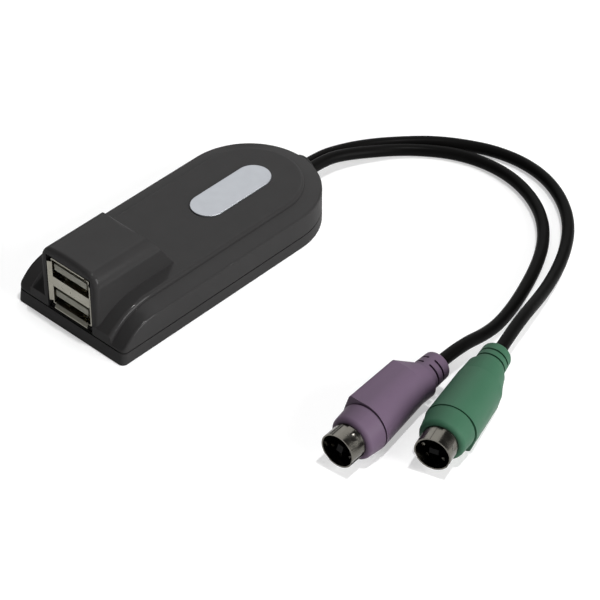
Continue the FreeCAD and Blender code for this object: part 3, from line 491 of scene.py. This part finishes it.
@dataclass
class Plug:
    """One moulded round plug."""

    workshop: Workshop
    name: str
    grip: Slot

    def nodes(self) -> list[str]:
        """Names of the plug's nodes."""
        return [f"{self.name}_plug_{kind}" for kind in ("grip", "shell", "insulator", "pins")]

    def dress(self) -> None:
        """Gives the plug's pieces their finishes."""
        slots = (self.grip, Slot.PLUG_METAL, Slot.PLUG_INSULATOR, Slot.PLUG_METAL)
        self.workshop.dress_nodes(dict(zip(self.nodes(), slots)))


# Lengths of the cords between the grommet and the grips, in metres
KEYBOARD_LENGTH = 0.147
MOUSE_LENGTH = 0.1518

# Routes of the cords, in millimetres: square out of the grommet, over the table, in line with
# the plug
KEYBOARD_ROUTE = [
    (1.8, 42.5, 4.7),
    (1.8, 48.2, 4.7),
    (3.3, 54.4, 3.7),
    (6.2, 60.7, 2.6),
    (10.3, 67.1, 1.9),
    (15.6, 72.2, 1.6),
    (22.3, 76.2, 1.7),
    (30.5, 78.6, 1.6),
    (39.5, 78.3, 1.7),
    (48.2, 75.5, 1.6),
    (55.8, 70.5, 1.7),
    (61.9, 63.7, 1.6),
    (66.5, 55.5, 1.7),
    (70.3, 46.0, 1.7),
    (73.5, 36.4, 2.1),
    (75.9, 26.4, 3.5),
    (76.003, 14.227, 6.422),
    (76.61, 6.25, 6.422),
]
MOUSE_ROUTE = [
    (-1.25, 42.5, 3.5),
    (-1.25, 49.0, 3.5),
    (0.3, 56.3, 2.7),
    (3.4, 63.5, 2.0),
    (8.2, 70.1, 1.6),
    (14.2, 76.0, 1.7),
    (21.2, 80.7, 1.6),
    (29.2, 84.1, 1.7),
    (37.8, 85.4, 1.6),
    (46.5, 83.9, 1.7),
    (54.8, 79.8, 1.6),
    (62.1, 73.4, 1.7),
    (67.7, 65.3, 1.6),
    (72.3, 55.4, 1.9),
    (76.1, 45.2, 3.5),
    (79.4, 35.3, 6.0),
    (81.799, 26.93, 6.6),
    (84.494, 18.343, 6.6),
]


@dataclass
class Cord:
    """One free cord from the grommet to its plug, along a route in millimetres."""

    workshop: Workshop
    name: str
    route: list[Point]
    length: float
    ends_on: list[str]
    diameter: float = 3.2 * MM
    order: int = 3
    round_steps: int = 10
    run_steps: int = 14

    def shape(self) -> bpy.types.Object:
        """Makes the cord as a smooth curve with a round section.

        Returns:
            The bare cord.
        """
        curve = bpy.data.curves.new(f"{self.name}_lead", "CURVE")
        curve.dimensions = "3D"
        spline = curve.splines.new("NURBS")
        spline.points.add(len(self.route) - 1)
        for point, place in zip(spline.points, self.route):
            point.co = (*(Vector(place) * MM), 1.0)
        spline.order_u = self.order
        spline.use_endpoint_u = True
        curve.resolution_u = self.run_steps
        curve.bevel_depth = self.diameter / 2
        curve.bevel_resolution = self.round_steps
        curve.use_fill_caps = True
        piece = bpy.data.objects.new(f"{self.name}_lead", curve)
        bpy.context.scene.collection.objects.link(piece)
        return piece

    def build(self) -> None:
        """Makes the cord, dresses it and puts it in the place of the plain tube."""
        piece = self.shape()
        self.workshop.dress(piece, Slot.CORD)
        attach(piece, ROOT)
        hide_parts(f"{self.name}_cord")
        LOG.info("%s built", piece.name)


def direct_ray(tree: bpy.types.NodeTree) -> bpy.types.NodeSocket:
    """Factor that is 1 for rays from the camera, from shiny pieces and through clear ones.

    Args:
        tree: Node tree to add to.

    Returns:
        Socket with the factor.
    """
    path = tree.nodes.new("ShaderNodeLightPath")
    factor = path.outputs["Is Camera Ray"]
    for name in ("Is Glossy Ray", "Is Transmission Ray"):
        either = tree.nodes.new("ShaderNodeMath")
        either.operation = "MAXIMUM"
        tree.links.new(factor, either.inputs[0])
        tree.links.new(path.outputs[name], either.inputs[1])
        factor = either.outputs[0]
    return factor


@dataclass(frozen=True)
class Lamp:
    """One square soft box: where it hangs as seen from the object, its side and its watts."""

    name: str
    towards: Point
    size: float
    power: float


@dataclass
class Studio:
    """Pale floor, soft lights and the camera at the photograph's angle.

    The camera's target and distance are in millimetres, and its angles in degrees.
    """

    target: Point = (31.85, 6.758, 0.0)
    azimuth: float = 43.215
    elevation: float = 39.917
    distance: float = 658.7
    lens: float = 162.0
    sensor: float = 36.0
    clip_near: float = 0.01
    clip_far: float = 20.0
    floor_size: float = 6.0
    floor_gap: float = 0.02 * MM
    floor_colour: Colour = (0.6, 0.6, 0.6)
    floor_glow: float = 0.45
    horizon: float = 0.5
    sky: float = 0.1
    cove_foot: float = 0.1
    cove_top: float = 0.35
    lamp_distance: float = 1.2
    lamps: tuple[Lamp, ...] = (
        Lamp("right_box", (0.92, 0.2, 0.36), 0.7, 18.0),
        Lamp("rear_box", (-0.525, 0.559, 0.641), 1.3, 8.0),
        Lamp("spark", (0.235, 0.045, 0.971), 0.05, 8.0),
    )

    def direction(self) -> Vector:
        """Unit vector from the target to the camera."""
        turn = math.radians(self.azimuth)
        rise = math.radians(self.elevation)
        level = math.cos(rise)
        return Vector((math.sin(turn) * level, -math.cos(turn) * level, math.sin(rise)))

    def camera(self) -> None:
        """Sets the camera."""
        data = bpy.data.cameras.new("photo_camera")
        data.lens = self.lens
        data.sensor_width = self.sensor
        data.clip_start = self.clip_near
        data.clip_end = self.clip_far
        camera = bpy.data.objects.new("photo_camera", data)
        bpy.context.scene.collection.objects.link(camera)
        target = Vector(self.target) * MM
        camera.location = target + self.direction() * self.distance * MM
        camera.rotation_euler = (-self.direction()).to_track_quat("-Z", "Y").to_euler()
        bpy.context.scene.camera = camera

    def floor_material(self) -> bpy.types.Material:
        """Matte finish that glows for the camera and shiny pieces, so that they see it as white.

        Returns:
            The new material.
        """
        material = bpy.data.materials.new("pale_floor")
        material.use_nodes = True
        tree = material.node_tree
        tree.nodes.clear()
        output = tree.nodes.new("ShaderNodeOutputMaterial")
        matte = tree.nodes.new("ShaderNodeBsdfDiffuse")
        matte.inputs["Color"].default_value = (*self.floor_colour, 1.0)
        glow = tree.nodes.new("ShaderNodeEmission")
        glow.inputs["Strength"].default_value = self.floor_glow
        both = tree.nodes.new("ShaderNodeAddShader")
        seen = tree.nodes.new("ShaderNodeMixShader")
        tree.links.new(matte.outputs["BSDF"], both.inputs[0])
        tree.links.new(glow.outputs["Emission"], both.inputs[1])
        tree.links.new(direct_ray(tree), seen.inputs["Fac"])
        tree.links.new(matte.outputs["BSDF"], seen.inputs[1])
        tree.links.new(both.outputs["Shader"], seen.inputs[2])
        tree.links.new(seen.outputs["Shader"], output.inputs["Surface"])
        return material

    def floor(self) -> None:
        """Lays the floor just below the object."""
        bpy.ops.object.select_all(action="DESELECT")
        bpy.ops.mesh.primitive_plane_add(size=self.floor_size, location=(0, 0, -self.floor_gap))
        floor = bpy.context.active_object
        floor.name = "pale_floor"
        floor.data.materials.append(self.floor_material())

    def world(self) -> None:
        """Sets a sky that is bright near the horizon, as a studio cove is, and dim overhead."""
        world = bpy.data.worlds.new("studio")
        bpy.context.scene.world = world
        world.use_nodes = True
        tree = world.node_tree
        tree.nodes.clear()
        output = tree.nodes.new("ShaderNodeOutputWorld")
        cove = tree.nodes.new("ShaderNodeBackground")
        place = tree.nodes.new("ShaderNodeTexCoord")
        axes = tree.nodes.new("ShaderNodeSeparateXYZ")
        fade = tree.nodes.new("ShaderNodeMapRange")
        fade.inputs["From Min"].default_value = self.cove_foot
        fade.inputs["From Max"].default_value = self.cove_top
        fade.inputs["To Min"].default_value = self.horizon
        fade.inputs["To Max"].default_value = self.sky
        tree.links.new(place.outputs["Generated"], axes.inputs["Vector"])
        tree.links.new(axes.outputs["Z"], fade.inputs["Value"])
        tree.links.new(fade.outputs["Result"], cove.inputs["Strength"])
        tree.links.new(cove.outputs["Background"], output.inputs["Surface"])

    def hang(self, lamp: Lamp) -> None:
        """Hangs one soft box so that it faces the camera's target.

        Args:
            lamp: The soft box to hang.
        """
        data = bpy.data.lights.new(lamp.name, "AREA")
        data.shape = "SQUARE"
        data.size = lamp.size
        data.energy = lamp.power
        box = bpy.data.objects.new(lamp.name, data)
        bpy.context.scene.collection.objects.link(box)
        away = Vector(lamp.towards).normalized()
        box.location = Vector(self.target) * MM + away * self.lamp_distance
        box.rotation_euler = (-away).to_track_quat("-Z", "Y").to_euler()

    def build(self) -> None:
        """Sets the floor, the sky, the lamps and the camera."""
        self.floor()
        self.world()
        for lamp in self.lamps:
            self.hang(lamp)
        self.camera()
        bpy.context.scene.view_settings.view_transform = "Standard"
        LOG.info("studio set with %d lamps", len(self.lamps))


def main() -> None:
    """Builds and dresses every sub-assembly, then the studio."""
    logging.basicConfig(level=logging.INFO, format="%(name)s: %(message)s")
    workshop = Workshop()
    Case(workshop).dress()
    Sockets(workshop).dress()
    Board(workshop).dress()
    keyboard = Plug(workshop, "keyboard", Slot.PURPLE_GRIP)
    mouse = Plug(workshop, "mouse", Slot.GREEN_GRIP)
    keyboard.dress()
    mouse.dress()
    keyboard_ends = keyboard.nodes()
    mouse_ends = mouse.nodes() + ["cable_grommet"]
    Cord(workshop, "keyboard", KEYBOARD_ROUTE, KEYBOARD_LENGTH, keyboard_ends).build()
    Cord(workshop, "mouse", MOUSE_ROUTE, MOUSE_LENGTH, mouse_ends).build()
    Studio().build()


if __name__ == "__main__":
    main()
